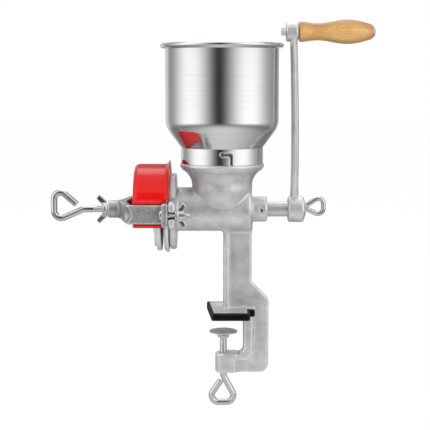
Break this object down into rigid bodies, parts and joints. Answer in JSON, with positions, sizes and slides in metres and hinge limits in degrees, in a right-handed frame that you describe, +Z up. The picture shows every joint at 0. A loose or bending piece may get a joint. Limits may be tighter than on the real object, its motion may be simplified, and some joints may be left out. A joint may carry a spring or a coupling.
{
  "type": "hand crank grain mill",
  "caption": "Table-clamp mill with a tall steel hopper, feed auger, adjustable grinding plates under a hood, and a long crank with a wooden handle.",
  "frame": {"origin": "on the hopper's axis, at the underside of the upper jaw's rubber cap, which rests on the table top", "axes": "+X along the shaft towards the crank, +Y away from the viewer, +Z up along the hopper's axis"},
  "size_m": [0.3909, 0.148, 0.472],
  "materials": {
    "tinned_iron": "fine-grained tinned casting, satin",
    "plate_iron": "ground cast iron, satin",
    "stainless": "polished spun steel",
    "plated_steel": "bright zinc plate",
    "red_plastic": "glossy moulded red",
    "handle_wood": "turned beech, clear varnish",
    "black_rubber": "moulded black rubber"
  },
  "bodies": {
    "frame": {"body_casting": "tinned_iron", "jaw_rubber_cap": "black_rubber", "bayonet_pins": "plated_steel", "fixed_plate": "plate_iron", "yoke": "tinned_iron", "near_yoke_bolt": "plated_steel", "far_yoke_bolt": "plated_steel", "flour_hood": "red_plastic"},
    "hopper_body": {"hopper": "stainless"},
    "thrust": {"thrust_ball": "plated_steel"},
    "crankshaft": {"drive_shaft": "plated_steel", "feed_auger": "tinned_iron", "plate_carrier": "tinned_iron", "carrier_pin": "plated_steel", "turning_plate": "plate_iron", "crank_arm": "tinned_iron", "handle_bolt": "plated_steel", "handle_nut": "plated_steel", "handle_washer": "plated_steel"},
    "grip": {"wooden_handle": "handle_wood"},
    "crank_screw": {"crank_eye_screw": "plated_steel"},
    "adjusting_screw": {"adjusting_eye_screw": "plated_steel"},
    "lock_nut": {"adjusting_lock_nut": "plated_steel"},
    "near_washer_body": {"near_washer": "plated_steel"},
    "near_nut": {"near_wing_nut": "plated_steel"},
    "far_washer_body": {"far_washer": "plated_steel"},
    "far_nut": {"far_wing_nut": "plated_steel"},
    "clamp_pad": {"clamp_disc": "tinned_iron"},
    "clamp_screw": {"clamp_eye_screw": "plated_steel"}
  },
  "joints": [
    {"name": "hopper_twist", "type": "hinge", "parent": "frame", "child": "hopper_body", "pos_m": [0, 0, 0.187], "axis": [0, 0, 1], "range_deg": [-11.8, 0]},
    {"name": "plate_gap_slide", "type": "slide", "parent": "frame", "child": "thrust", "axis": [1, 0, 0], "range_m": [-0.004, 0.0032]},
    {"name": "crank_turn", "type": "hinge", "parent": "thrust", "child": "crankshaft", "pos_m": [0, 0, 0.131], "axis": [1, 0, 0], "continuous": true},
    {"name": "grip_spin", "type": "hinge", "parent": "crankshaft", "child": "grip", "pos_m": [0.0919, 0, 0.3436], "axis": [1, 0, 0], "continuous": true},
    {"name": "crank_screw_turn", "type": "hinge", "parent": "crankshaft", "child": "crank_screw", "pos_m": [0.1, 0, 0.131], "axis": [1, 0, 0], "range_deg": [0, 720]},
    {"name": "adjusting_screw_turn", "type": "hinge", "parent": "thrust", "child": "adjusting_screw", "pos_m": [-0.1, 0, 0.131], "axis": [1, 0, 0], "range_deg": [-1153, 922]},
    {"name": "lock_nut_turn", "type": "hinge", "parent": "frame", "child": "lock_nut", "pos_m": [-0.138, 0, 0.131], "axis": [1, 0, 0], "range_deg": [-360, 0]},
    {"name": "near_washer_slide", "type": "slide", "parent": "frame", "child": "near_washer_body", "axis": [1, 0, 0], "range_m": [0, 0.006]},
    {"name": "near_nut_turn", "type": "hinge", "parent": "near_washer_body", "child": "near_nut", "pos_m": [-0.0534, -0.0665, 0.131], "axis": [1, 0, 0], "range_deg": [-1, 2161]},
    {"name": "far_washer_slide", "type": "slide", "parent": "frame", "child": "far_washer_body", "axis": [1, 0, 0], "range_m": [0, 0.006]},
    {"name": "far_nut_turn", "type": "hinge", "parent": "far_washer_body", "child": "far_nut", "pos_m": [-0.0534, 0.0665, 0.131], "axis": [1, 0, 0], "range_deg": [-1, 2161]},
    {"name": "clamp_slide", "type": "slide", "parent": "frame", "child": "clamp_pad", "axis": [0, 0, 1], "range_m": [-0.016, 0.0025]},
    {"name": "clamp_screw_turn", "type": "hinge", "parent": "clamp_pad", "child": "clamp_screw", "pos_m": [0.0016, 0, -0.024], "axis": [0, 0, 1], "range_deg": [-3841, 601]}
  ],
  "couplings": [
    {"joint": "adjusting_screw_turn", "follows": "plate_gap_slide", "rad_per_m": 5026.5},
    {"joint": "near_nut_turn", "follows": "near_washer_slide", "rad_per_m": 6283.2},
    {"joint": "far_nut_turn", "follows": "far_washer_slide", "rad_per_m": 6283.2},
    {"joint": "clamp_screw_turn", "follows": "clamp_slide", "rad_per_m": 4188.8}
  ]
}
